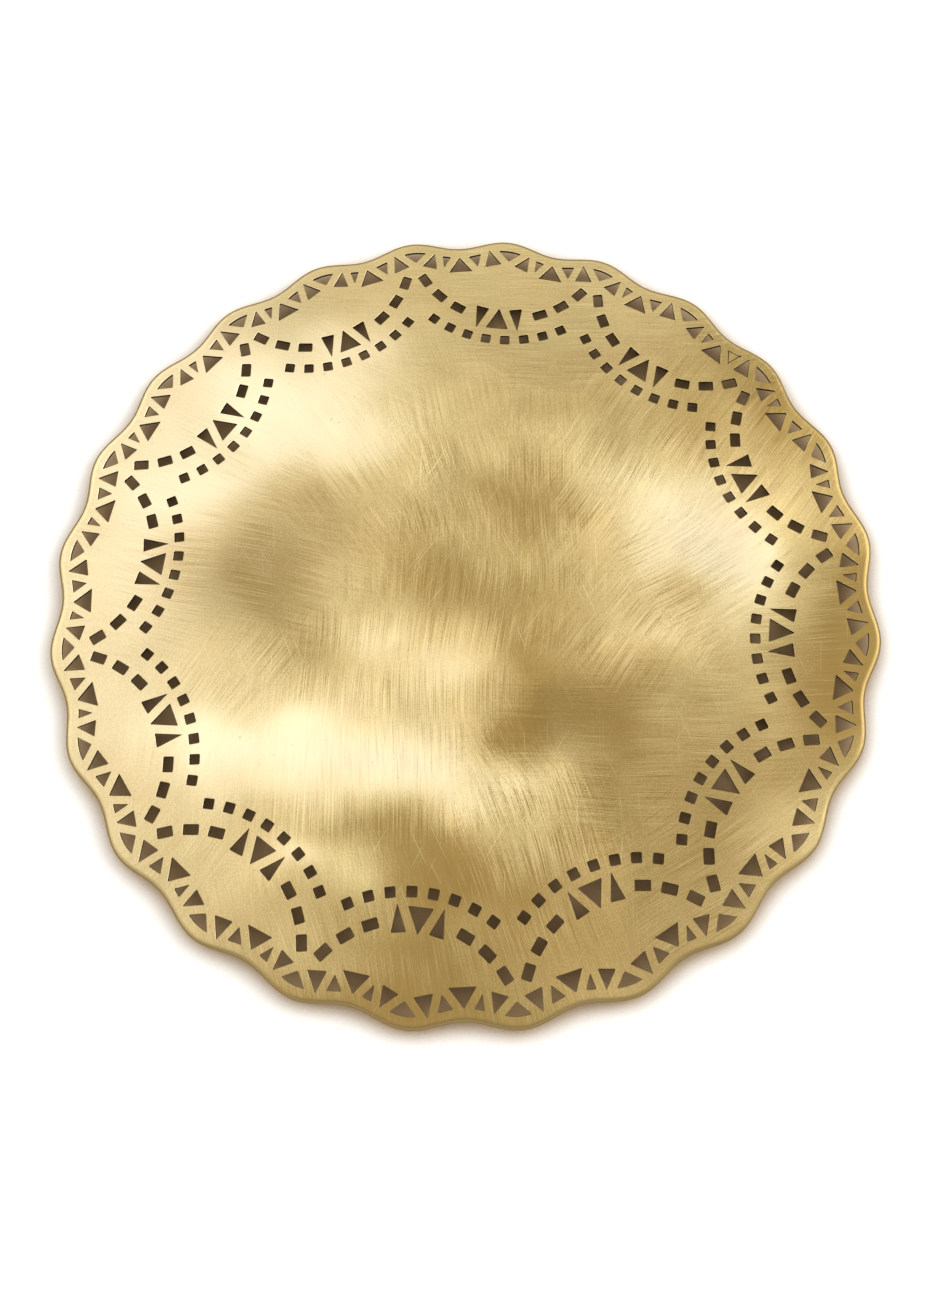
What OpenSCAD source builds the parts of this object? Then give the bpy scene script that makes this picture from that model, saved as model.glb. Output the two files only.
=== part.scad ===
// Round table doily in sheet brass, with a scalloped rim and a pierced lace border,
// standing on four low rubber pads. Origin on the table under the plate's centre, +Z up.

/* [Plate] */
// Diameter over the scallop crests; the lace pattern grows and shrinks with it
plate_d = 300; // [240:1:400]
// Thickness of the brass sheet
plate_t = 1.2; // [0.8:0.1:2]

/* [Scalloped rim] */
// Depth of the scallops, from crest to valley
scallop_depth = 3.8; // [2:0.1:5]
// Solid rim left outside the zigzag band
rim_w = 4.4; // [4:0.1:5]

/* [Zigzag band] */
// Width of the strap that zigzags through the band
strap_w = 2.9; // [2:0.1:3.4]
// Mean radius of the band's inner edge
band_r = 137; // [136.5:0.1:137.6]
// How far the inner edge rises and falls with the scallops
band_rise = 2.5; // [1.5:0.1:3]
// Strap corner inside the small opening before a crest: angle from the crest
small_in_a = -4; // [-4.2:0.1:-3.8]
// The same corner's radius
small_in_r = 134.5; // [134:0.1:135]
// Strap corner outside the medium opening before a crest: angle from the crest
medium_in_a = -3.1; // [-3.3:0.1:-2.9]
// The same corner's radius
medium_in_r = 148.8; // [148.3:0.1:149.3]
// Strap corner under a crest: angle from the crest
crest_a = 0.5; // [0.3:0.1:0.7]
// The same corner's radius
crest_r = 138.8; // [138.3:0.1:139.3]
// Strap corner outside the medium opening after a crest: angle from the crest
medium_out_a = 4.2; // [4:0.1:4.4]
// The same corner's radius
medium_out_r = 147.5; // [147:0.1:148]
// Strap corner inside the small opening after a crest: angle from the crest
small_out_a = 4.5; // [4.3:0.1:4.7]
// The same corner's radius
small_out_r = 133.1; // [132.6:0.1:134]
// Strap corner in a valley: angle from the crest before it
valley_a = 7.5; // [7.3:0.1:7.7]
// The same corner's radius
valley_r = 144.5; // [144:0.1:145]

/* [Swags] */
// Distance from the plate's centre to the centre that a swag's arcs share
swag_c = 154.9; // [154.4:0.1:155.4]
// Angle between neighbouring square holes, seen from that centre
swag_step = 8.6; // [8.3:0.1:8.8]
// Radius of the arc of square holes
square_arc = 49.3; // [48.8:0.1:49.8]
// Side of a square hole
square_w = 3.7; // [3:0.1:4.5]
// Radius of the arc of oblong holes
oblong_arc = 40.1; // [39.6:0.1:40.6]
// Length of an oblong hole, along the arc
oblong_l = 5.5; // [4.5:0.1:6.5]
// Width of an oblong hole
oblong_w = 3.7; // [3:0.1:4.5]

/* [Fans] */
// Tip of the fan's middle triangle, from the swag's centre
fan_tip = 35.4; // [35:0.1:37]
// Base of the fan's middle triangle, from the swag's centre
fan_base = 44.4; // [43:0.1:44.8]
// Width of that base
fan_w = 8.8; // [7:0.1:9]
// Angle from the fan's middle to each side triangle
fan_a = 10.2; // [10:0.1:11]
// Tip of a side triangle, from the swag's centre
side_tip = 45.5; // [44:0.1:46]
// Base of a side triangle, from the swag's centre
side_base = 36; // [35.5:0.1:38]
// Width of that base
side_w = 5.2; // [4:0.1:5.4]

/* [Left-in cut-out] */
// One small cut-out is still in its hole, inside its cut line: 1 shows it, 0 opens the hole
left_in = 1; // [0, 1]
// Width of the cut line
kerf_w = 0.3; // [0.2:0.05:0.4]
// Depth of the cut line
kerf_h = 0.7; // [0.3:0.1:0.7]
// Diameter of the pierced spot where the cut line starts
pierce_d = 0.8; // [0.5:0.1:1]

/* [Pads] */
// Height that the pads hold the sheet above the table
pad_h = 5; // [2:0.1:10]
// Diameter of a pad where it meets the sheet
pad_d = 12.5; // [8:0.5:20]
// Distance of the pads from the plate's centre
pad_r = 80; // [40:1:90]

/* [Hidden] */
swags = 12;
lobes = 2 * swags;
pads = 4;
k = plate_d / 300;
rim_r = 150 - scallop_depth / 2;
rim_step = 0.75;
left_in_lobe = 3;
eps = 0.5;

// Point at an angle from +Y (clockwise from above) and a radius of the 300 mm pattern
function at(a, r) = [r * sin(a), r * cos(a)];

// Radius of a line that follows the scallops: mean radius r, rise and fall w
function wave(a, r, w) = r + w * cos(lobes * a);

// Unit vector from p to q, and its right-hand normal
function unit(p, q) = (q - p) / norm(q - p);
function right(d) = [d[1], -d[0]];

// Where the line from p along d crosses the line from q along e
function meet(p, d, q, e) = p + d * (((q - p) * right(e)) / (d * right(e)));

// Where the line from p along d reaches the scalloped line of radius r and rise w
function reach(p, d, r, w, n = 8) =
    n == 0 ? p : reach(p + d * (wave(atan2(p[0], p[1]), r, w) - norm(p))
                         / (d * p / norm(p)), d, r, w, n - 1);

// Strap corners round one crest, inner and outer in turn, with the neighbours at both ends
corners = [
    at(valley_a - 360 / lobes, valley_r),
    at(small_in_a, small_in_r),
    at(medium_in_a, medium_in_r),
    at(crest_a, crest_r),
    at(medium_out_a, medium_out_r),
    at(small_out_a, small_out_r),
    at(valley_a, valley_r),
    at(small_in_a + 360 / lobes, small_in_r),
];

// Corners of the opening at strap corner i, inside the two strap edges that meet there:
// its tip, then its two feet on the band's edge of radius r and rise w
function opening(i, r, w) =
    let (
        c = corners[i],
        d = unit(c, corners[i - 1]),
        e = unit(c, corners[i + 1]),
        side = (i % 2 == 1 ? 1 : -1) * strap_w / 2,
        p = c + right(d) * side,
        q = c - right(e) * side,
        tip = meet(p, d, q, e)
    )
    [tip, reach(tip, d, r, w), reach(tip, e, r, w)];

// The same corners, with the base along the scalloped line in n steps
function curved(pts, r, w, n = 8) =
    let (
        a = atan2(pts[1][0], pts[1][1]),
        b = atan2(pts[2][0], pts[2][1])
    )
    [pts[0], for (j = [0:n]) let (u = a + (b - a) * j / n) at(u, wave(u, r, w))];

outer_r = rim_r - rim_w;
outer_w = scallop_depth / 2;
small_in = opening(1, outer_r, outer_w);
medium_in = opening(2, band_r, band_rise);
crest = curved(opening(3, outer_r, outer_w), outer_r, outer_w);
medium_out = opening(4, band_r, band_rise);
small_out = opening(5, outer_r, outer_w);
valley = opening(6, band_r, band_rise);

// Triangle shrunk by t on every side
function shrunk(p, t) =
    let (
        m = (p[0] + p[1] + p[2]) / 3,
        side = [for (i = [0:2]) norm(p[(i + 1) % 3] - p[(i + 2) % 3])],
        inset = (side[0] * p[0] + side[1] * p[1] + side[2] * p[2])
                / (side[0] + side[1] + side[2]),
        ab = p[1] - p[0],
        ac = p[2] - p[0],
        r = abs(ab * right(ac)) / (side[0] + side[1] + side[2])
    )
    [for (q = p) inset + (q - inset) * (1 - t / r)];

// Scalloped outline of the sheet
module outline() {
    polygon([
        for (a = [0:rim_step:360 - rim_step]) at(a, wave(a, rim_r, scallop_depth / 2)) * k
    ]);
}

// Prism right through the sheet over a list of pattern points
module punch(pts) {
    translate([0, 0, -eps]) linear_extrude(plate_t + 2 * eps) polygon(pts * k);
}

// Holes of the zigzag band round one crest
module band_cell(skip_small = false) {
    if (!skip_small) punch(small_in);
    punch(medium_in);
    punch(crest);
    punch(medium_out);
    punch(small_out);
    punch(valley);
}

// Cut line round the cut-out that was left in its hole
module cut_line() {
    translate([0, 0, plate_t - kerf_h])
        linear_extrude(kerf_h + eps)
            difference() {
                polygon(small_in * k);
                polygon(shrunk(small_in * k, kerf_w));
            }
    translate([each small_in[2] * k, plate_t - kerf_h])
        cylinder(h = kerf_h + eps, d = pierce_d, $fn = 24);
}

// Rectangle l along an arc of radius r about the swag's centre, at angle a from its middle
function on_arc(a, r, l, w) =
    let (c = [0, swag_c] + r * [sin(a), -cos(a)], x = [cos(a), sin(a)] * l / 2,
         y = [-sin(a), cos(a)] * w / 2)
    [c - x - y, c + x - y, c + x + y, c - x + y];

// Triangle on a ray at angle a from the swag's middle: tip and base distances, base width
function on_ray(a, tip, base, w) =
    let (out = [sin(a), -cos(a)], x = [cos(a), sin(a)] * w / 2, o = [0, swag_c])
    [o + tip * out, o + base * out + x, o + base * out - x];

// Holes of one swag: squares, oblongs and the fan in the middle
module swag() {
    for (s = [-3.5:1:3.5]) punch(on_arc(s * swag_step, square_arc, square_w, square_w));
    for (m = [-1, 1], s = [2.75, 4.25, 5.75])
        punch(on_arc(m * s * swag_step, oblong_arc, oblong_l, oblong_w));
    punch(on_ray(0, fan_tip, fan_base, fan_w));
    for (m = [-1, 1]) punch(on_ray(m * fan_a, side_tip, side_base, side_w));
}

module lace_plate() {
    color([0.79, 0.66, 0.38])
        translate([0, 0, pad_h])
            difference() {
                linear_extrude(plate_t) outline();
                for (i = [0:swags - 1]) rotate(-i * 360 / swags) swag();
                for (i = [0:lobes - 1])
                    rotate(-i * 360 / lobes) band_cell(left_in == 1 && i == left_in_lobe);
                if (left_in == 1) rotate(-left_in_lobe * 360 / lobes) cut_line();
            }
}

module pads() {
    color([0.12, 0.12, 0.12])
        for (i = [0:pads - 1])
            rotate(45 + i * 360 / pads)
                translate([pad_r * k, 0, 0])
                    cylinder(h = pad_h, d1 = pad_d - 1.5, d2 = pad_d);
}

lace_plate();
pads();
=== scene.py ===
"""Scalloped lace doily plate in hand-brushed sheet brass, on four rubber pads.

Metres, +Z up, the plate's centre over the origin, the table at z = 0. Outlines and places
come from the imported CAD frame; the lists below are in millimetres of the plate.
"""

import math

import bpy
import numpy as np
from mathutils import Matrix, Vector
from mathutils.geometry import delaunay_2d_cdt


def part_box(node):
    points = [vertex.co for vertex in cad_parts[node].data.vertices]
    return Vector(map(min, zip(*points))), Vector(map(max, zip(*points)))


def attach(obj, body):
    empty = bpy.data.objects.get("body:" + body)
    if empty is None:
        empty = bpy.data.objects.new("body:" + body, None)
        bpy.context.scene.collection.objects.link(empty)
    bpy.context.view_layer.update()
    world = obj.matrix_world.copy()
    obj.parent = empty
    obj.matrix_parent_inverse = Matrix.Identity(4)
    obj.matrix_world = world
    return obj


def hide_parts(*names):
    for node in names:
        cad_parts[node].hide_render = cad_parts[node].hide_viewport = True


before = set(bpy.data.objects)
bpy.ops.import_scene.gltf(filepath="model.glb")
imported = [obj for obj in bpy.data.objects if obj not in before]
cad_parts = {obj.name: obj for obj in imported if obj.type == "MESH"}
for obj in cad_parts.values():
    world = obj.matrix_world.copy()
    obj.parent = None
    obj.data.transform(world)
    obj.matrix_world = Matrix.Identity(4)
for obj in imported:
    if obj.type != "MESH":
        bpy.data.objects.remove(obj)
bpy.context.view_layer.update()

MM = 0.001

# Outlines read from the CAD sheet
LEVEL = 1e-5  # metres; a corner this close to a height lies at it
DECIMALS = 4  # of a millimetre, for corners in the same place
STRAIGHT = 1e-3  # radians; a smaller turn is no corner at all
SAME_PLACE = 0.05  # millimetres between the middles of one hole's two mouths

# Plate mesh, millimetres
RIM_INSET, RIM_DROP = 2.0, 1.0  # width and depth of the rim's rounded upper edge
RIM_STEPS = 6
RIM_SUPPORT = 0.4  # flat ring kept just inside the rounding
EDGE_BREAK = 0.12  # broken upper edge round each hole
UNDER_BREAK = 0.08  # broken lower edges of the holes and the rim
CORNER_ROUND = 0.45  # radius of the holes' corners
TIP_LOSS = 0.22  # most that rounding takes off a sharp tip
EDGE_SHARE = 0.45  # most of an edge that the rounding of one corner uses up
SMOOTH_TURN = 20  # degrees; smaller turns of an outline are a curve, not a corner
ARC_TURN = 26  # degrees of a corner's turn for each step of its rounding
MITRE = 0.4  # keeps a sharp corner from running far out when an outline grows
GRID, GRID_UNDER, GRID_LEFT_IN = 3.0, 5.0, 1.0  # top, underside, left-in cut-out
CLEAR = 0.7  # grid points keep this far from a hole
MERGE = 1e-6  # points closer than this are one
SHARP = 35  # degrees; a smaller fold between two faces is shaded smooth

# Material slots of the sheet; the pads have only the first
FACE, WALL, UNDERSIDE = 0, 1, 2

# Waviness of the sheet: height, wavelength, direction in degrees, phase
WAVES = [
    (0.045, 150, 20, 0.6),
    (0.035, 95, 110, 1.9),
    (0.025, 70, 65, 4.1),
    (0.020, 48, 150, 2.7),
]


def turn_angle(a, b, c):
    """Signed turn at b on the way from a to c, in radians."""
    u, v = b - a, c - b
    return math.atan2(u[0] * v[1] - u[1] * v[0], float(u @ v))


def area(loop):
    """Area inside a loop, negative for a clockwise one."""
    x, y = loop[:, 0], loop[:, 1]
    return 0.5 * float(x @ np.roll(y, -1) - y @ np.roll(x, -1))


def flat_loops(obj, z):
    """Outlines of the flat CAD faces at height z: counter-clockwise, largest first, in
    millimetres."""
    co = np.array([v.co for v in obj.data.vertices])
    level = np.abs(co[:, 2] - z) < LEVEL
    number = {}  # one number for every place in the plane
    names = [number.setdefault(tuple(np.round(c[:2] / MM, DECIMALS)), len(number)) for c in co]
    points = np.array(list(number))
    edges = set()
    for poly in obj.data.polygons:
        ring = list(poly.vertices)
        if level[ring].all():
            ring = [names[i] for i in ring]
            edges.update(zip(ring, ring[1:] + ring[:1]))
    after = {a: b for a, b in edges if (b, a) not in edges}
    loops = []
    while after:
        start = min(after)
        chain, at = [], start
        while at in after:
            chain.append(at)
            at = after.pop(at)
        loop = points[chain]
        loops.append(loop if area(loop) > 0 else loop[::-1])
    loops.sort(key=lambda p: (-area(p), tuple(p.mean(0))))
    return [without_straights(p) for p in loops]


def without_straights(loop):
    """The loop without points that lie on a straight edge."""
    n = len(loop)
    turns = [turn_angle(loop[i - 1], loop[i], loop[(i + 1) % n]) for i in range(n)]
    return loop[[i for i in range(n) if abs(turns[i]) > STRAIGHT]]


def rounded(loop, radius):
    """The loop with its corners rounded; a sharp tip gets a smaller radius."""
    n, out = len(loop), []
    for i in range(n):
        a, b, c = loop[i - 1], loop[i], loop[(i + 1) % n]
        turn = turn_angle(a, b, c)
        if abs(turn) < math.radians(SMOOTH_TURN):
            out.append(b)
            continue
        half = (math.pi - abs(turn)) / 2
        r = min(radius, TIP_LOSS / (1 / math.sin(half) - 1))
        to_a, to_c = np.linalg.norm(b - a), np.linalg.norm(c - b)
        reach = min(r / math.tan(half), EDGE_SHARE * to_a, EDGE_SHARE * to_c)
        p = b + (a - b) / to_a * reach
        q = b + (c - b) / to_c * reach
        steps = max(3, round(math.degrees(abs(turn)) / ARC_TURN))
        for s in range(steps + 1):
            t = s / steps  # on the rational arc between p and q with its corner at b
            f = [(1 - t) ** 2, 2 * t * (1 - t) * math.sin(half), t**2]
            out.append((f[0] * p + f[1] * b + f[2] * q) / sum(f))
    return np.array(out)


def grown(loop, distance):
    """A counter-clockwise loop moved outwards."""
    before, after = np.roll(loop, 1, 0), np.roll(loop, -1, 0)
    u = loop - before
    v = after - loop
    u /= np.linalg.norm(u, axis=1)[:, None]
    v /= np.linalg.norm(v, axis=1)[:, None]
    normal = np.stack([u[:, 1] + v[:, 1], -u[:, 0] - v[:, 0]], 1)
    length = np.linalg.norm(normal, axis=1)[:, None]
    normal /= length
    return loop + normal * distance / np.maximum(length / 2, MITRE)


def inside(points, loop):
    """Which points lie inside the loop."""
    x, y = points[:, 0], points[:, 1]
    hit = np.zeros(len(points), bool)
    for (ax, ay), (bx, by) in zip(loop, np.roll(loop, -1, 0)):
        if ay != by:
            crosses = (ay > y) != (by > y)
            hit ^= crosses & (x < (bx - ax) * (y - ay) / (by - ay) + ax)
    return hit


def grid_points(outline, holes, step):
    """Staggered grid inside the outline and clear of the holes; no points without a step."""
    if step is None:
        return np.empty((0, 2))
    size = np.abs(outline).max()
    rows = np.arange(-size, size, step * math.sqrt(3) / 2)
    cols = np.arange(-size, size, step)
    pts = np.array([(x + step / 2 * (j % 2), y) for j, y in enumerate(rows) for x in cols])
    pts = pts[inside(pts, grown(outline, -step / 2))]
    keep = np.ones(len(pts), bool)
    for hole in holes:
        centre = hole.mean(0)
        limit = np.linalg.norm(hole - centre, axis=1).max() + 2 * CLEAR
        index = np.nonzero(np.linalg.norm(pts - centre, axis=1) < limit)[0]
        if len(index):
            keep[index[inside(pts[index], grown(hole, CLEAR))]] = False
    return pts[keep]


def triangles(outline, holes, step):
    """Points and triangles of the flat region between an outline and its holes.
    The points start with the outline and the holes in order."""
    loops = [outline] + holes
    extra = grid_points(outline, holes, step)
    points = np.concatenate(loops + [extra])
    owners = [np.full(len(p), i) for i, p in enumerate(loops)] + [np.full(len(extra), -1)]
    owner = np.concatenate(owners)
    edges, start = [], 0
    for p in loops:
        n = len(p)
        edges += [(start + i, start + (i + 1) % n) for i in range(n)]
        start += n
    made = delaunay_2d_cdt([Vector(p) for p in points], edges, [], 0, MERGE)
    source = [ids[0] for ids in made[3]]
    tris = np.array([[source[i] for i in f] for f in made[2]])
    same = (owner[tris] == owner[tris[:, :1]]).all(1) & (owner[tris[:, 0]] >= 0)
    centre = points[tris].mean(1)
    drop = np.zeros(len(tris), bool)
    for i, loop in enumerate(loops):
        pick = np.nonzero(same & (owner[tris[:, 0]] == i))[0]
        if len(pick):
            within = inside(centre[pick], loop)
            drop[pick] = ~within if i == 0 else within
    tris = tris[~drop]
    a, b, c = (points[tris[:, i]] for i in range(3))
    flip = (b - a)[:, 0] * (c - a)[:, 1] - (b - a)[:, 1] * (c - a)[:, 0] < 0
    tris[flip] = tris[flip][:, ::-1]
    return points, tris


class Build:
    """Collects points and faces of one mesh, in millimetres."""

    def __init__(self):
        self.points, self.faces, self.slots, self.rims, self.count = [], [], [], [], 0

    def ring(self, loop, z, rim=0.0):
        """Adds the loop's points at height z and returns their numbers."""
        first = self.count
        self.rims += [rim] * len(loop)
        self.points.append(np.column_stack([loop, np.full(len(loop), z)]))
        self.count += len(loop)
        return np.arange(first, self.count)

    def band(self, low, high, slot=FACE):
        """Faces between two counter-clockwise rings that face outwards, high above low."""
        n = len(low)
        for i in range(n):
            j = (i + 1) % n
            self.faces.append((low[i], low[j], high[j], high[i]))
        self.slots += [slot] * n

    def flat(self, tris, names, slot=FACE):
        """Adds triangles whose corners count through the names."""
        for t in tris:
            self.faces.append(tuple(int(names[i]) for i in t))
        self.slots += [slot] * len(tris)

    def fan(self, hub, ring, slot=FACE):
        """Adds triangles from a hub to every edge of a ring."""
        n = len(ring)
        self.faces += [(hub, ring[i], ring[(i + 1) % n]) for i in range(n)]
        self.slots += [slot] * n

    def object(self, name, shape=None):
        """Makes the object; shape gives each point's extra height."""
        points = np.concatenate(self.points)
        if shape is not None:
            points[:, 2] += shape(points)
        mesh = bpy.data.meshes.new(name)
        mesh.from_pydata((points * MM).tolist(), [], [tuple(map(int, f)) for f in self.faces])
        mesh.polygons.foreach_set("material_index", self.slots)
        mesh.validate()
        mesh.polygons.foreach_set("use_smooth", [True] * len(mesh.polygons))
        mesh.set_sharp_from_angle(angle=math.radians(SHARP))
        mesh.attributes.new("rim", "FLOAT", "POINT").data.foreach_set("value", self.rims)
        obj = bpy.data.objects.new(name, mesh)
        bpy.context.scene.collection.objects.link(obj)
        return obj


def waviness(points):
    """Gentle unevenness of the hand-worked sheet, in millimetres."""
    z = np.zeros(len(points))
    for height, length, angle, phase in WAVES:
        a = math.radians(angle)
        along = points[:, 0] * math.cos(a) + points[:, 1] * math.sin(a)
        z += height * np.sin(2 * math.pi * along / length + phase)
    return z


def spots(points, rows):
    """Sum of soft spots over the plate: weight, x, y, radius along, radius across, angle."""
    total = np.zeros(len(points))
    for weight, x, y, along, across, angle in rows:
        a = math.radians(angle)
        dx, dy = points[:, 0] - x, points[:, 1] - y
        u = (dx * math.cos(a) + dy * math.sin(a)) / along
        v = (dy * math.cos(a) - dx * math.sin(a)) / across
        total += weight * np.exp(-u * u - v * v)
    return total


# Drift that keeps the spots' outlines from being plain ovals:
# millimetres moved in x and y, waves per millimetre in x and y, phase
DRIFT = [
    (2.2, 0.8, 0.011, 0.017, 0.7),
    (1.0, -2.0, -0.009, 0.014, 2.1),
    (1.5, 1.1, -0.021, 0.013, 2.9),
    (-0.9, 1.4, 0.019, 0.022, 5.2),
    (0.9, 0.7, 0.033, 0.024, 4.4),
    (-0.6, 0.9, -0.028, 0.035, 1.3),
]


def drifted(points):
    """Points of the plane moved by a few smooth waves."""
    out = points[:, :2].copy()
    for to_x, to_y, along, across, phase in DRIFT:
        wave = np.sin(2 * math.pi * (points[:, 0] * along + points[:, 1] * across) + phase)
        out += wave[:, None] * (to_x, to_y)
    return out


def lace_sheet():
    """The plate: top and underside, hole walls with broken edges, rounded rim, cut line."""
    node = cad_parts["lace_plate"]
    low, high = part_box("lace_plate")
    top, under = high.z / MM, low.z / MM
    top_loops = flat_loops(node, high.z)
    under_loops = flat_loops(node, low.z)
    outline = top_loops[0]
    through = [rounded(p, CORNER_ROUND) for p in under_loops[1:]]
    centres = np.array([p.mean(0) for p in under_loops[1:]])
    # the cut line's outer and inner outline have no mouth below them
    shallow = [
        p for p in top_loops[1:] if np.linalg.norm(centres - p.mean(0), axis=1).min() > SAME_PLACE
    ]
    groove = sorted(shallow, key=area)[::-1]
    heights = sorted({round(float(v.co.z) / MM, DECIMALS) for v in node.data.vertices})
    groove_z = heights[1] if len(heights) > 2 else under

    b = Build()
    turns = [math.pi / 2 * s / RIM_STEPS for s in range(RIM_STEPS + 1)]
    outer = grown(outline, -RIM_INSET - RIM_SUPPORT)
    mouths = [grown(p, EDGE_BREAK) for p in through]
    points, tris = triangles(outer, mouths + groove[:1], GRID)
    names = b.ring(points, top)
    b.flat(tris, names)
    sizes = np.cumsum([0, len(outer)] + [len(p) for p in mouths + groove[:1]])
    part = [names[sizes[i] : sizes[i + 1]] for i in range(len(sizes) - 1)]
    rim_top, mouth_rings = part[0], part[1 : 1 + len(mouths)]
    if groove:
        points, tris = triangles(groove[1], [], GRID_LEFT_IN)
        left_in = b.ring(points, top)
        b.flat(tris, left_in)
        points, tris = triangles(groove[0], [groove[1]], None)
        bottom = b.ring(points, groove_z)
        b.flat(tris, bottom, WALL)
        b.band(part[-1], bottom[: len(groove[0])], WALL)
        b.band(bottom[len(groove[0]) :], left_in[: len(groove[1])], WALL)

    ring = rim_top
    for step, t in enumerate(turns):
        inset, drop = RIM_INSET * (1 - math.sin(t)), RIM_DROP * (1 - math.cos(t))
        lower = b.ring(grown(outline, -inset), top - drop, step / RIM_STEPS)
        b.band(lower, ring)
        ring = lower
    rim_low = b.ring(outline, under + UNDER_BREAK, 1.0)
    b.band(rim_low, ring)

    soles = [grown(p, UNDER_BREAK) for p in through]
    outer_under = grown(outline, -UNDER_BREAK)
    points, tris = triangles(outer_under, soles, GRID_UNDER)
    names = b.ring(points, under)
    b.flat(tris[:, ::-1], names, UNDERSIDE)
    b.band(names[: len(outer_under)], rim_low)
    start = len(outer_under)
    for hole, mouth in zip(through, mouth_rings):
        sole = names[start : start + len(hole)]
        start += len(hole)
        upper = b.ring(hole, top - EDGE_BREAK)
        lower = b.ring(hole, under + UNDER_BREAK)
        b.band(mouth, upper)
        b.band(upper, lower, WALL)
        b.band(lower, sole)
    return b.object("lace_sheet", waviness)


# Pads, millimetres
PAD_TOP_D = 12.5
PAD_SIDES = 64
PAD_EMBED = 0.2  # the pads reach this far into the sheet, to follow its waviness
# From the middle of the sole to the flange: share of the pad's radius, share of its height
PAD_PROFILE = [
    (0.00, 0.035), (0.30, 0.035), (0.34, 0.030), (0.38, 0.0), (0.74, 0.0), (0.80, 0.012),
    (0.85, 0.05), (0.875, 0.11), (0.885, 0.20), (0.93, 0.50), (0.965, 0.80), (0.975, 0.87),
    (1.0, 0.90), (1.0, 0.97), (0.99, 1.0),
]


def pad_set():
    """Four moulded pads: shallow recess in the sole, rounded foot, thin flange at the top."""
    low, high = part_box("pads")
    height = (high.z - low.z) / MM
    place = high.x / MM - PAD_TOP_D / 2
    b = Build()
    turn = np.linspace(0, 2 * math.pi, PAD_SIDES, endpoint=False)
    circle = np.column_stack([np.cos(turn), np.sin(turn)])
    for sx, sy in ((1, 1), (-1, 1), (-1, -1), (1, -1)):
        centre = np.array([sx, sy]) * place
        below = None
        for share, rise in PAD_PROFILE:
            z = low.z / MM + rise * height + (PAD_EMBED if rise == 1 else 0)
            if share == 0:
                hub = b.ring(centre[None], z)[0]
                continue
            ring = b.ring(centre + circle * share * PAD_TOP_D / 2, z)
            if below is None:
                b.fan(hub, ring[::-1])
            else:
                b.band(below, ring)
            below = ring
        lid = b.ring(centre[None], z)[0]
        b.fan(lid, below)
    return b.object("foot_pads")


class Nodes:
    """Short calls that build one node tree."""

    def __init__(self, tree):
        self.tree = tree
        tree.nodes.clear()

    def add(self, kind, *inputs, **settings):
        """A node with its settings and its first inputs."""
        node = self.tree.nodes.new("ShaderNode" + kind)
        for name, value in settings.items():
            setattr(node, name, value)
        for socket, value in zip(node.inputs, inputs):
            self.put(socket, value)
        return node

    def put(self, socket, value):
        """Links the input to another node's output, or sets its value."""
        if isinstance(value, bpy.types.NodeSocket):
            self.tree.links.new(value, socket)
        elif value is not None:
            socket.default_value = value

    def math(self, operation, a, b=None, c=None, clamp=False):
        return self.add("Math", a, b, c, operation=operation, use_clamp=clamp).outputs[0]

    def vector(self, operation, a, b=None):
        node = self.add("VectorMath", a, b, operation=operation)
        return node.outputs["Value" if operation == "DOT_PRODUCT" else "Vector"]

    def scaled(self, a, factor):
        node = self.add("VectorMath", a, operation="SCALE")
        self.put(node.inputs["Scale"], factor)
        return node.outputs["Vector"]

    def noise(self, place, scale, detail, rough, colour=False):
        node = self.add("TexNoise")
        settings = {"Vector": place, "Scale": scale, "Detail": detail, "Roughness": rough}
        for name, value in settings.items():
            self.put(node.inputs[name], value)
        return node.outputs["Color" if colour else "Fac"]

    def ramp(self, value, low, high, to_low=0.0, to_high=1.0):
        """Smooth step between low and high."""
        node = self.add("MapRange", value, low, high, to_low, to_high, interpolation_type="SMOOTHSTEP")
        return node.outputs[0]

    def mix(self, factor, a, b, blend="MIX"):
        node = self.add("Mix", data_type="RGBA", blend_type=blend)
        for socket, value in ((0, factor), (6, a), (7, b)):  # 6 and 7 take colours
            self.put(node.inputs[socket], value)
        return node.outputs[2]

    def tinted(self, factor, colour, tint):
        """The colour with some of it multiplied by a tint."""
        return self.mix(factor, colour, self.mix(1.0, colour, tint, blend="MULTIPLY"))

    def bump(self, strength, height, depth):
        """Normals of a relief of this depth in millimetres."""
        node = self.add("Bump", strength, 1.0)
        self.put(node.inputs["Height"], self.math("MULTIPLY", height, depth * MM))
        return node.outputs[0]

    def placed(self, place, x, y, angle, rx, ry):
        """Coordinates about (x, y), turned by an angle and divided by the radii."""
        node = self.add("Mapping", place, vector_type="TEXTURE")
        node.inputs["Location"].default_value = (x, y, 0)
        node.inputs["Rotation"].default_value = (0, 0, math.radians(angle))
        node.inputs["Scale"].default_value = (rx, ry, 1)
        return node.outputs[0]

    def field(self, name):
        """A value that the mesh carries at its points."""
        return self.add("Attribute", attribute_name=name).outputs["Fac"]

    def plane(self):
        """Object coordinates in millimetres, flattened onto the plate's plane."""
        place = self.add("TexCoord").outputs["Object"]
        return self.vector("MULTIPLY", place, (1 / MM, 1 / MM, 0))

    def shader(self, **inputs):
        """The surface shader, linked to the output."""
        node = self.add("BsdfPrincipled")
        for name, value in inputs.items():
            self.put(node.inputs[name.replace("_", " ")], value)
        self.add("OutputMaterial", node.outputs[0])


def material(name):
    """A new material and the calls that fill its node tree."""
    made = bpy.data.materials.new(name)
    made.use_nodes = True
    return made, Nodes(made.node_tree)


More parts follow.
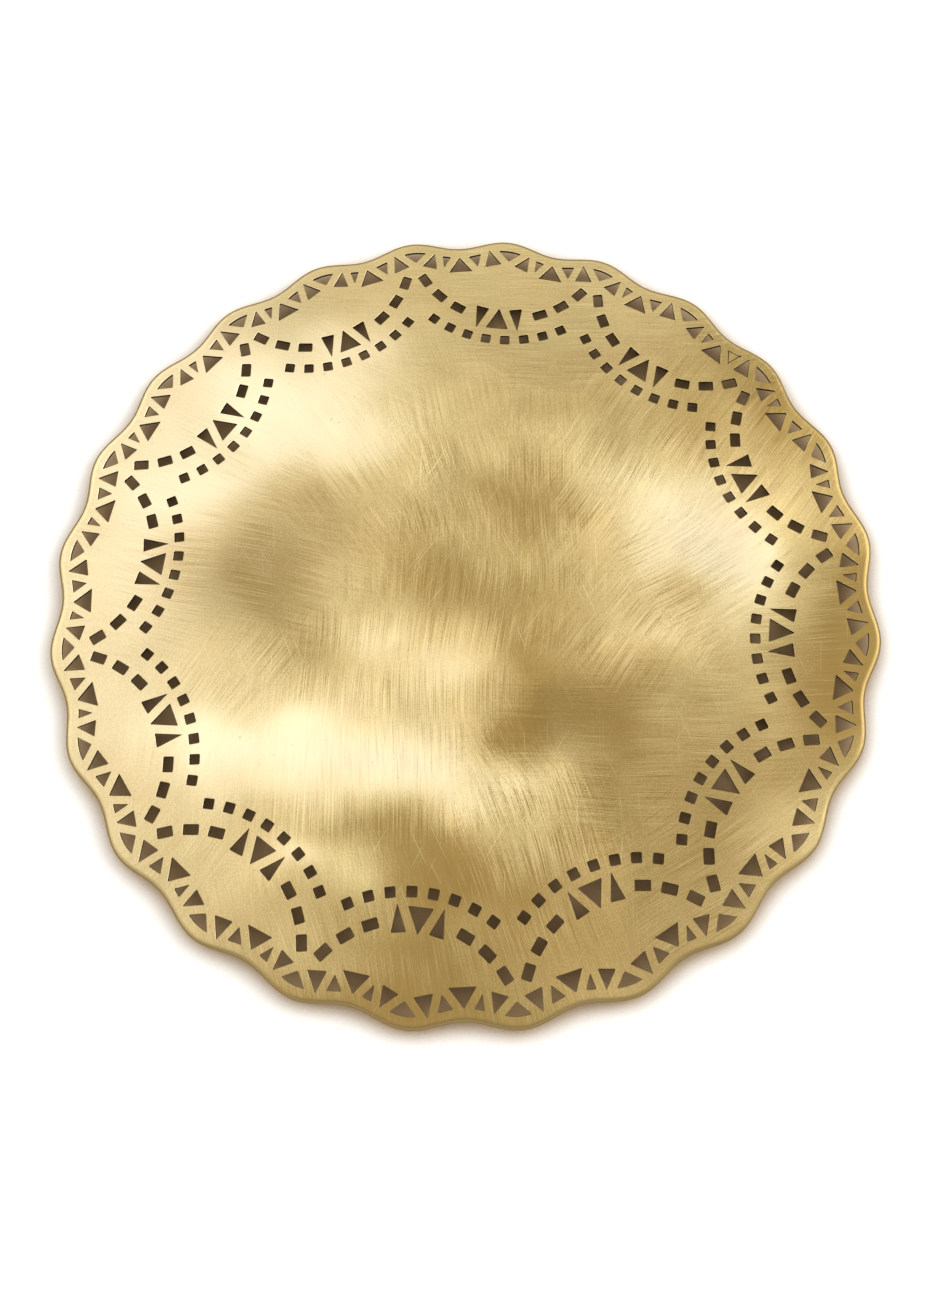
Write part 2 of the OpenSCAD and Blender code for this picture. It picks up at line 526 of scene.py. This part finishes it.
# Where the hand brush ran in each direction: angle, then spots of weight, x, y, radii, angle
SWEEPS = [
    (-5, [(1.0, -88, 8, 38, 24, 0)]),
    (-20, [(1.0, -82, 48, 30, 20, -20), (0.8, -40, 88, 26, 14, -30)]),
    (-48, [(1.0, -52, 46, 30, 24, -48), (0.9, 26, -60, 14, 9, -40)]),
    (-68, [(1.0, -14, 62, 40, 24, -60), (1.0, 36, -84, 34, 22, -70), (0.7, -30, -118, 50, 24, 0)]),
    (-85, [(1.0, 20, 32, 40, 22, -80), (1.0, -18, -36, 48, 28, 90), (0.9, -48, -76, 34, 34, 90)]),
    (62, [(1.0, 54, 58, 40, 24, 62), (1.0, 62, -10, 20, 20, 70), (0.9, -74, -40, 22, 18, 60),
          (0.8, -80, -105, 26, 18, 60), (0.8, 125, 60, 22, 22, 50)]),
    (38, [(1.0, 84, 22, 24, 22, 35), (0.7, 100, -90, 30, 30, 30)]),
    (6, [(1.0, 66, -46, 36, 22, 5), (0.6, 5, 112, 60, 24, 0), (0.7, 125, 0, 18, 22, 0)]),
]

# Painted sheen, light and dark reflections painted into the colour: weight, x, y, radii, angle.
# They add up, so that the small ones shape the edges of the large ones.
SHEEN = [
    (1.0, -78, 62, 36, 20, -35),
    (0.5, -118, 20, 30, 60, 0),
    (1.0, -58, -60, 46, 16, 5),
    (0.9, -8, -66, 40, 13, -8),
    (0.9, 0, -23, 15, 11, 20),
    (0.5, -28, -22, 10, 10, 0),
    (0.83, 62, 42, 30, 16, -30),
    (-0.22, 25, 78, 12, 8, 0),
    (0.9, 100, 24, 20, 22, 20),
    (0.45, 67, -6, 14, 10, 0),
    (0.5, 32, -62, 10, 9, 0),
    (-0.95, -72, -2, 26, 20, -20),
    (-0.7, -60, 36, 16, 14, 0),
    (-0.55, -50, -26, 14, 12, 30),
    (0.3, -54, 1, 9, 10, 0),
    (0.3, -26, 27, 9, 7, 0),
    (-0.22, -27, 0, 8, 7, 0),
    (-0.22, -76, -26, 10, 8, 0),
    (-0.9, -10, 7, 24, 16, -40),
    (-0.74, 13, 41, 28, 12, 6),
    (0.25, -52, 47, 10, 8, 0),
    (-0.5, 40, 88, 80, 26, -10),
    (-0.4, 20, 10, 30, 30, 0),
    (-1.0, 48, -35, 42, 22, -25),
    (-1.0, 24, -48, 12, 12, 0),
    (-0.3, 26, -50, 10, 9, 0),
    (-0.35, 26, 0, 13, 12, 0),
    (-0.2, -42, 25, 32, 12, 0),
    (0.4, 84, 44, 20, 14, -20),
    (0.4, -22, -101, 9, 7, 0),
    (-0.4, 32, -100, 14, 8, 0),
    (-0.08, 6, -76, 22, 7, 0),
    (0.12, 0, -50, 13, 8, 0),
    (-0.3, 26, -22, 10, 8, 0),
    (0.35, 78, 20, 14, 12, 0),
    (-1.0, -5, -89, 30, 8, 0),
    (-0.7, 82, 14, 10, 7, 0),
    (-1.1, 130, 0, 18, 50, 0),
    (-0.9, 106, 94, 40, 16, -45),
    (0.72, -52, 92, 24, 18, 20),
    (0.48, -48, 62, 20, 14, 0),
    (0.5, -100, 28, 16, 14, 0),
    (-0.4, 76, 86, 12, 20, 0),
    (-0.5, 44, 40, 16, 12, 0),
    (-0.35, 24, 52, 14, 12, 0),
    (-0.3, 22, 26, 12, 10, 0),
    (0.75, -42, -99, 16, 9, 0),
    (-0.35, 27, -103, 12, 8, 0),
    (-0.42, 52, -75, 13, 10, 0),
    (0.25, -78, -74, 12, 10, 0),
    (-0.18, -26, -98, 9, 9, 0),
    (-0.1, 36, 78, 26, 10, 0),
    (-1.1, 0, -146, 60, 12, 0),
    (0.18, 0, 92, 60, 20, 0),
    (-0.95, 4, -101, 13, 9, 0),
    (-0.5, 0, -124, 16, 12, 0),
    (-0.2, 50, -100, 12, 8, 0),
    (-0.15, -104, -2, 14, 16, 0),
    (0.5, 126, -72, 20, 14, -60),
    (-1.2, 143, 0, 10, 40, 0),
    (-0.3, 124, 76, 40, 12, -55),
    (-0.12, 94, -26, 16, 12, 0),
    (-0.3, 108, -50, 20, 20, 0),
    (0.28, 78, -48, 14, 12, 0),
    (0.22, 110, -2, 16, 10, 0),
    (0.28, 124, 18, 12, 22, 0),
    (-0.46, -62, -50, 26, 9, 0),
    (-0.85, 22, -120, 66, 22, 0),
    (-0.6, 84, -80, 40, 34, 0),
]

# From the spots' sum to the painted sheen
SHEEN_GAIN, SHEEN_DROP = 1.15, 0.1
LIFT_GAIN, LIFT_FROM = 0.35, 0.2  # extra where the sum is high

# Painted light tint: paler where the painted sheen is bright (painted highlight), and towards the
# left from here (mm) over a width (painted cool light)
PALE_SHEEN, PALE_LEFT = 0.75, 0.5
PALE_FROM, PALE_WIDTH = 30, 90

# How strongly the brush scratched: plain strength, limits, and how much calmer the border is
# outside a radius
SCRATCHED, SCRATCHED_LIMITS = 0.72, (0.2, 1.8)
BORDER_R, BORDER_SOFT, BORDER_CALM = 96, 14, 0.28
# Change from the plain strength, x, y, radii, angle
WORKED = [
    (0.9, 42, 50, 24, 20, 60),
    (0.5, -20, 52, 20, 14, -60),
    (0.6, 64, -4, 22, 14, 60),
    (0.8, 8, -69, 40, 13, -8),
    (0.4, -6, -42, 26, 12, 0),
    (0.6, 42, -74, 26, 14, -30),
    (0.5, -60, -35, 20, 12, 40),
    (-0.55, 56, -40, 30, 18, -20),
    (-0.3, -82, 0, 20, 30, 0),
    (-0.3, 20, 80, 50, 14, 0),
    (0.7, 84, 26, 24, 24, 0),
    (0.35, 96, 62, 20, 18, 0),
]

# Shallow dents that tip the reflections: height in millimetres, x, y, radii, angle
DENTS = [
    (-0.5, -72, 0, 24, 20, -20),
    (0.4, -50, -60, 40, 16, 5),
    (0.4, 10, 30, 30, 22, 10),
    (-0.4, 60, 40, 26, 18, -30),
    (0.5, 50, -40, 36, 22, -30),
    (-0.3, -5, -86, 30, 10, 0),
]
SLOPE_STEP = 0.5  # millimetres to each side, over which a slope is measured
FACING_UP = 0.3  # least upward part of a normal that the dents tip

# Brush marks: length and width in millimetres
FINE_MARK = (22, 0.2)
BROAD_MARK = (28, 0.7)
STRAY_MARK = (16, 0.3)
SINGLE_MARK = (32, 0.3)
STRAY_ANGLES = (12, 57, 101, 148)
STRAY_SHARE = 0.125  # strength of the stray marks at each angle
SINGLE_ANGLES = (-58, 64, 95)
BROAD_LEAN = 5  # degrees between a sweep's broad marks and its fine ones
BARE = 0.05  # weight of plain metal where no sweep reaches
WANDER = 14.0  # how far the marks wander from their straight run
RAGGED_SINE, RAGGED_COSINE = 3.0, -1.5  # how ragged the brush direction is

# Noise scales, per millimetre
WANDER_SCALE, HAZE_SCALE, SPECK_SCALE, ROSE_SCALE, PIT_SCALE = 0.012, 0.05, 1.5, 0.022, 0.7

# Noise values where a mark starts and where it is at its strongest
SINGLE_EDGE, FINE_EDGE, ROSE_EDGE, PIT_EDGE = (0.70, 0.78), (0.10, 0.24), (0.35, 0.65), (0.75, 0.81)

# How much each layer of marks changes the tone, and the tones that are deepest and lightest
BROAD_TONE, GRAIN_TONE, HAZE_TONE, SPECK_TONE = 0.62, 3.4, 0.35, 0.8
TONE_DEEP, TONE_LIGHT = -1.8, 1.6
GRAIN_CRISP = 0.7  # what the grain adds on top

# Strongest mix of each colour over the brass
SINGLE_MIX, ROSE_MIX, PIT_MIX = 0.6, 0.5, 0.5

# Roughness of the face, and what the grain and the haze add to it
ROUGH, ROUGH_GRAIN, ROUGH_HAZE = 0.38, 0.35, 0.12

# The face against the table: noise scales along and across the rolling, and scuffs
ROLLED_LINES = (0.03, 2.5, 0)
SCUFF_MARK, SCUFF_ANGLE = (20, 0.35), 35
# Cut walls: noise scales of the upright stripes
WALL_STRIPES = (6, 6, 0.5)

# Colours of the brass
# Light and deep ends of the tone: the painted sheen of reflections moves the face between them, as do
# the brush marks
BRASS_LIGHT = (1.0, 0.86, 0.465, 1)
BRASS_DEEP = (0.34, 0.238, 0.078, 1)
BRASS_SCRATCH = (1.0, 0.93, 0.66, 1)
# painted shade of the rolled rim edge
RIM_PAINTED_SHADE = (0.25, 0.18, 0.075, 1)
BRASS_ROSE = (1.0, 0.93, 0.88, 1)  # tint of the rosier patches
# painted light: the cool pale tint of the highlights and of the left side
PAINTED_LIGHT_TINT = (1.0, 1.06, 1.42, 1)  # tint where the attribute "pale" is 1
BRASS_GRAZING = (0.62, 0.48, 0.26, 1)  # tint where the face is seen edge-on
UNDER_DARK = (0.15, 0.10, 0.042, 1)
UNDER_BROWN = (0.38, 0.265, 0.115, 1)
UNDER_BRIGHT = (0.62, 0.48, 0.24, 1)
# Cut walls: near black partly for the cut's dull finish, partly as painted shade inside the holes
WALL_BLACK = (0.008, 0.005, 0.0025, 1)
WALL_BROWN = (0.05, 0.032, 0.015, 1)

# Colours of the pads and the table
RUBBER_BLACK = (0.018, 0.017, 0.016, 1)
RUBBER_DUSTY = (0.05, 0.047, 0.043, 1)
TABLE_GREY = (0.91, 0.91, 0.91, 1)
TABLE_PALE = (0.94, 0.94, 0.94, 1)
SHADE_DEEP = (0.33, 0.212, 0.098, 1)
SHADE_EDGE = (0.41, 0.285, 0.155, 1)
SHADE_REACH = 0.05  # metres

# Relief, millimetres
GRAIN_DEPTH, ROLLED_DEPTH, WALL_DEPTH, RUBBER_DEPTH = 0.012, 0.01, 0.04, 0.03


def brushed_brass():
    """The face: marks of every sweep, stray and single scratches, painted sheen and painted rim shade.
    """
    made, n = material("brushed_brass")
    flat = n.plane()
    wander = n.noise(flat, WANDER_SCALE, 1, 0.5, colour=True)
    wander = n.scaled(n.vector("SUBTRACT", wander, (0.5, 0.5, 0.5)), WANDER)
    place = n.vector("MULTIPLY", n.vector("ADD", flat, wander), (1, 1, 0))

    # fine and broad marks: the mean of the sweeps' own noise, each sweep read from another place
    fine, broad, weight = BARE / 2, BARE / 2, BARE
    for i, (angle, _) in enumerate(SWEEPS):
        share = n.field(f"sweep_{i}")
        run = n.placed(place, 7 * i, 11 * i, angle, *FINE_MARK)
        fine = n.math("MULTIPLY_ADD", share, n.noise(run, 1.0, 1, 0.6), fine)
        weight = n.math("ADD", share, weight)
    fine = n.math("SUBTRACT", n.math("DIVIDE", fine, weight), 0.5)
    for i, (angle, _) in enumerate(SWEEPS):
        run = n.placed(place, 5 * i, 3 * i, angle + BROAD_LEAN, *BROAD_MARK)
        broad = n.math("MULTIPLY_ADD", n.field(f"sweep_{i}"), n.noise(run, 1.0, 2, 0.6), broad)
    broad = n.math("SUBTRACT", n.math("DIVIDE", broad, weight), 0.5)

    # stray scratches in every direction, less their mean, and single bright ones
    stray = -STRAY_SHARE * len(STRAY_ANGLES) / 2
    for i, turn in enumerate(STRAY_ANGLES):
        run = n.placed(flat, 13 * i, 5 * i, turn, *STRAY_MARK)
        stray = n.math("MULTIPLY_ADD", n.noise(run, 1.0, 1, 0.6), STRAY_SHARE, stray)
    single = 0.0
    for i, turn in enumerate(SINGLE_ANGLES):
        run = n.placed(place, 9 * i, 17 * i, turn, *SINGLE_MARK)
        single = n.math("MAXIMUM", single, n.ramp(n.noise(run, 1.0, 1, 0.5), *SINGLE_EDGE))
    worked = n.field("worked")
    single = n.math("MAXIMUM", single, n.ramp(fine, *FINE_EDGE))
    single = n.math("MULTIPLY", single, worked)
    grain = n.math("MULTIPLY", n.math("ADD", fine, stray), worked)
    broad = n.math("MULTIPLY", broad, worked)

    # tone between the deep and the light brass: the painted sheen of reflections, with the brush marks
    haze = n.math("SUBTRACT", n.noise(flat, HAZE_SCALE, 1, 0.5), 0.5)
    speck = n.math("SUBTRACT", n.noise(flat, SPECK_SCALE, 1, 0.6), 0.5)
    tone = n.math("MULTIPLY_ADD", broad, BROAD_TONE, n.field("sheen"))
    tone = n.math("MULTIPLY_ADD", grain, GRAIN_TONE, tone)
    tone = n.math("MULTIPLY_ADD", haze, HAZE_TONE, tone)
    tone = n.math("MULTIPLY_ADD", speck, SPECK_TONE, tone)
    tone = n.ramp(tone, TONE_DEEP, TONE_LIGHT)
    tone = n.math("MULTIPLY_ADD", grain, GRAIN_CRISP, tone, clamp=True)

    # colour, with single scratches, rosier patches, pits, the painted light tint and the darker rim of
    # painted shade
    colour = n.mix(tone, BRASS_DEEP, BRASS_LIGHT)
    colour = n.mix(n.math("MULTIPLY", single, SINGLE_MIX, clamp=True), colour, BRASS_SCRATCH)
    rosy = n.ramp(n.noise(flat, ROSE_SCALE, 2, 0.6), *ROSE_EDGE)
    colour = n.tinted(n.math("MULTIPLY", rosy, ROSE_MIX), colour, BRASS_ROSE)
    pits = n.ramp(n.noise(flat, PIT_SCALE, 1, 0.5), *PIT_EDGE, 0.0, PIT_MIX)
    colour = n.mix(pits, colour, BRASS_DEEP)
    # painted light: the bright and the left areas tinted paler and cooler
    colour = n.tinted(n.field("pale"), colour, PAINTED_LIGHT_TINT)
    # painted shade: the rolled rim edge darkened in the colour, as if it reflected a dark room
    rim = n.math("ADD", n.field("rim"), grain)
    colour = n.mix(n.ramp(rim, 0.0, 0.5), colour, RIM_PAINTED_SHADE)

    rough = n.math("MULTIPLY_ADD", grain, ROUGH_GRAIN, ROUGH)
    rough = n.math("MULTIPLY_ADD", haze, ROUGH_HAZE, rough)

    # direction across the brush, ragged where two sweeps meet
    ragged = n.math("ADD", broad, grain)
    sine = n.math("MULTIPLY_ADD", ragged, RAGGED_SINE, n.field("brush_s"))
    cosine = n.math("MULTIPLY_ADD", ragged, RAGGED_COSINE, n.field("brush_c"))
    angle = n.math("MULTIPLY", n.math("ARCTAN2", sine, cosine), 0.5)
    to_left = n.math("MULTIPLY", n.math("SINE", angle), -1.0)
    across = n.add("CombineXYZ", to_left, n.math("COSINE", angle), 0.0)
    n.shader(Base_Color=colour, Metallic=1.0, Roughness=rough, Anisotropic=0.6,
             Specular_Tint=BRASS_GRAZING, Tangent=across.outputs[0],
             Normal=n.bump(1.0, grain, GRAIN_DEPTH))
    return made


def dull_brass():
    """The face against the table, left as it was rolled, with handling stains."""
    made, n = material("dull_brass")
    flat = n.plane()
    stain = n.noise(flat, 0.03, 4, 0.6)
    rolled = n.noise(n.vector("MULTIPLY", flat, ROLLED_LINES), 1.0, 3, 0.6)
    scuffs = n.noise(n.placed(flat, 0, 0, SCUFF_ANGLE, *SCUFF_MARK), 1.0, 1, 0.5)
    colour = n.mix(n.ramp(stain, 0.3, 0.7), UNDER_DARK, UNDER_BROWN)
    colour = n.mix(n.ramp(rolled, 0.35, 0.75, 0.0, 0.45), colour, UNDER_BRIGHT)
    colour = n.mix(n.ramp(scuffs, 0.68, 0.78, 0.0, 0.6), colour, UNDER_BRIGHT)
    n.shader(Base_Color=colour, Metallic=1.0, Roughness=n.ramp(stain, 0.3, 0.7, 0.45, 0.62),
             Specular_Tint=BRASS_GRAZING, Normal=n.bump(0.6, rolled, ROLLED_DEPTH))
    return made


def cut_wall():
    """Cut walls, duller than the faces and dark: partly their own cut finish, partly painted shade."""
    made, n = material("brass_cut_wall")
    place = n.scaled(n.add("TexCoord").outputs["Object"], 1 / MM)
    stripes = n.noise(n.vector("MULTIPLY", place, WALL_STRIPES), 1.0, 3, 0.6)
    stain = n.noise(place, 0.6, 2, 0.5)
    tone = n.math("MULTIPLY", stripes, 0.6)
    tone = n.math("ADD", tone, n.math("MULTIPLY", stain, 0.5), clamp=True)
    # painted shade in part: the walls' colour runs from near black to dark brown
    n.shader(Base_Color=n.mix(tone, WALL_BLACK, WALL_BROWN), Metallic=0.8,
             Roughness=n.ramp(stain, 0.2, 0.8, 0.5, 0.75), Normal=n.bump(0.5, stripes, WALL_DEPTH))
    return made


def rubber():
    """Black rubber with a fine grain and a little dust."""
    made, n = material("moulded_rubber")
    place = n.scaled(n.add("TexCoord").outputs["Object"], 1 / MM)
    grain = n.noise(place, 2.2, 3, 0.6)
    dust = n.noise(place, 0.35, 3, 0.6)
    n.shader(Base_Color=n.mix(n.ramp(dust, 0.45, 0.75), RUBBER_BLACK, RUBBER_DUSTY),
             Roughness=n.ramp(grain, 0.2, 0.8, 0.55, 0.8), Normal=n.bump(0.6, grain, RUBBER_DEPTH))
    return made


def table_top():
    """Plain pale table, with a deeper, warmer shade where the sheet keeps the light off it."""
    made, n = material("pale_table")
    place = n.add("TexCoord").outputs["Object"]
    cloud = n.noise(place, 3.0, 3, 0.5)
    pale = n.mix(cloud, TABLE_GREY, TABLE_PALE)
    open_sky = n.add("AmbientOcclusion", samples=8)
    n.put(open_sky.inputs["Distance"], SHADE_REACH)
    seen = open_sky.outputs["AO"]
    shade = n.mix(n.ramp(seen, 0.15, 0.55), SHADE_DEEP, SHADE_EDGE)
    colour = n.mix(n.ramp(seen, 0.55, 0.99), shade, pale)
    n.shader(Base_Color=colour, Roughness=n.ramp(cloud, 0.3, 0.7, 0.7, 0.8))
    return made


def dress(obj):
    """Writes the painted sheen, the painted light tint and the brush's sweeps on the sheet's points,
    and tips its normals over the dents."""
    mesh = obj.data
    co = np.empty(len(mesh.vertices) * 3, np.float32)
    mesh.vertices.foreach_get("co", co)
    points = co.reshape(-1, 3).astype(float) / MM
    moved = drifted(points)
    # painted sheen: light and dark reflections that are painted into the colour
    sheen = spots(moved, SHEEN)
    lift = LIFT_GAIN * np.maximum(sheen - LIFT_FROM, 0)
    values = {"sheen": SHEEN_GAIN * sheen + lift - SHEEN_DROP}
    # painted light tint: paler with the painted sheen and towards the left
    leftward = np.clip((-points[:, 0] - PALE_FROM) / PALE_WIDTH, 0, 1)
    values["pale"] = np.clip(PALE_SHEEN * np.maximum(sheen, 0) + PALE_LEFT * leftward, 0, 1)
    out = np.clip((np.hypot(points[:, 0], points[:, 1]) - BORDER_R) / BORDER_SOFT, 0, 1)
    strength = SCRATCHED + spots(moved, WORKED) - BORDER_CALM * out
    values["worked"] = np.clip(strength, *SCRATCHED_LIMITS)
    double = np.zeros((len(points), 2))  # along twice the angle, so that opposite ways agree
    for i, (angle, rows) in enumerate(SWEEPS):
        values[f"sweep_{i}"] = share = spots(moved, rows)
        a = 2 * math.radians(angle)
        double += share[:, None] * (math.cos(a), math.sin(a))
    values["brush_c"], values["brush_s"] = double.T
    for name, value in values.items():
        field = mesh.attributes.new(name, "FLOAT", "POINT")
        field.data.foreach_set("value", value.astype(np.float32))
    slope = np.column_stack([
        spots(moved + d, DENTS) - spots(moved - d, DENTS)
        for d in ((SLOPE_STEP, 0), (0, SLOPE_STEP))
    ]) / (2 * SLOPE_STEP)
    normals = np.empty(len(mesh.loops) * 3, np.float32)
    mesh.corner_normals.foreach_get("vector", normals)
    normals = normals.reshape(-1, 3)
    index = np.empty(len(mesh.loops), np.int32)
    mesh.loops.foreach_get("vertex_index", index)
    facing = normals[:, 2:] > FACING_UP
    normals[:, :2] -= np.where(facing, slope[index], 0)
    normals /= np.linalg.norm(normals, axis=1)[:, None]
    mesh.normals_split_custom_set(normals.tolist())


sheet = lace_sheet()
dress(sheet)
for made in (brushed_brass(), cut_wall(), dull_brass()):
    sheet.data.materials.append(made)
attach(sheet, "root")
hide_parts("lace_plate")

pads = pad_set()
pads.data.materials.append(rubber())
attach(pads, "root")
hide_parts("pads")

# Table
HALF = 3.0
floor_mesh = bpy.data.meshes.new("table")
floor_corners = [(-HALF, -HALF, 0), (HALF, -HALF, 0), (HALF, HALF, 0), (-HALF, HALF, 0)]
floor_mesh.from_pydata(floor_corners, [], [(0, 1, 2, 3)])
floor = bpy.data.objects.new("table", floor_mesh)
bpy.context.scene.collection.objects.link(floor)
floor.data.materials.append(table_top())

# Studio: a pale horizon, a band of light above it that is weaker in front and behind, and a
# dimmer sky overhead. Heights are sines of the elevation; each pair is where a change starts
# and ends.
HORIZON = (1.03, 1.03, 1.03, 1)
LIGHT_BAND = (3.3, 3.35, 3.4, 1)
OVERHEAD = (0.87, 0.79, 0.67, 1)
BAND_RISE, BAND_END = (0.35, 0.56), (0.55, 0.80)
FRONT, BACK = (0.1, -0.99, 0), (0.1, 0.99, 0)
FRONT_SPREAD, BACK_SPREAD = (0.1, 0.8), (0.35, 0.8)
FRONT_SHADE, BACK_SHADE = 0.5, 0.5
world = bpy.data.worlds.new("studio")
bpy.context.scene.world = world
world.use_nodes = True
w = Nodes(world.node_tree)
ray = w.add("TexCoord").outputs["Generated"]
height = w.vector("DOT_PRODUCT", ray, (0, 0, 1))
upper = w.mix(w.ramp(height, *BAND_END), LIGHT_BAND, OVERHEAD)
risen = w.ramp(height, *BAND_RISE)
sky = w.mix(risen, HORIZON, upper)
front = w.ramp(w.vector("DOT_PRODUCT", ray, FRONT), *FRONT_SPREAD, 0.0, FRONT_SHADE)
back = w.ramp(w.vector("DOT_PRODUCT", ray, BACK), *BACK_SPREAD, 0.0, BACK_SHADE)
dimmed = w.math("MULTIPLY", w.math("MAXIMUM", front, back), risen)
background = w.add("Background", sky, w.math("SUBTRACT", 1.0, dimmed))
w.add("OutputWorld", background.outputs[0])

# Soft boxes that face the plate: name, place, size, power
SOFT_BOXES = [
    ("window_left", (-0.85, 0.25, 1.0), 0.9, 1.3),
    ("window_right", (1.0, 0.5, 0.85), 0.7, 6.0),
]
for name, at, size, power in SOFT_BOXES:
    light = bpy.data.lights.new(name, "AREA")
    light.shape = "SQUARE"
    light.size = size
    light.energy = power
    lamp = bpy.data.objects.new(name, light)
    lamp.location = at
    lamp.rotation_euler = (-lamp.location).to_track_quat("-Z", "Y").to_euler()
    bpy.context.scene.collection.objects.link(lamp)

# Camera: the point looked at, then angles in degrees, distance in metres, lens in millimetres
TARGET = Vector((0.00338, -0.02011, 0.0062))
AZIMUTH, ELEVATION, ROLL, DISTANCE = -12.48, 74.24, -5.63, 0.38822
LENS, SENSOR = 30.1, 36.0
CLIP_NEAR, CLIP_FAR = 0.01, 20
az, el, roll = (math.radians(v) for v in (AZIMUTH, ELEVATION, ROLL))
forward = Vector((math.sin(az) * math.cos(el), math.cos(az) * math.cos(el), -math.sin(el)))
level = forward.cross(Vector((0, 0, 1))).normalized()
rise = level.cross(forward)
right = level * math.cos(roll) + rise * math.sin(roll)
up = right.cross(forward)
view = bpy.data.cameras.new("photo_view")
view.lens, view.sensor_width = LENS, SENSOR
view.clip_start, view.clip_end = CLIP_NEAR, CLIP_FAR
camera = bpy.data.objects.new("photo_view", view)
turn = Matrix((right, up, -forward)).transposed()
camera.matrix_world = Matrix.Translation(TARGET - forward * DISTANCE) @ turn.to_4x4()
bpy.context.scene.collection.objects.link(camera)
bpy.context.scene.camera = camera
bpy.context.scene.view_settings.view_transform = "Standard"
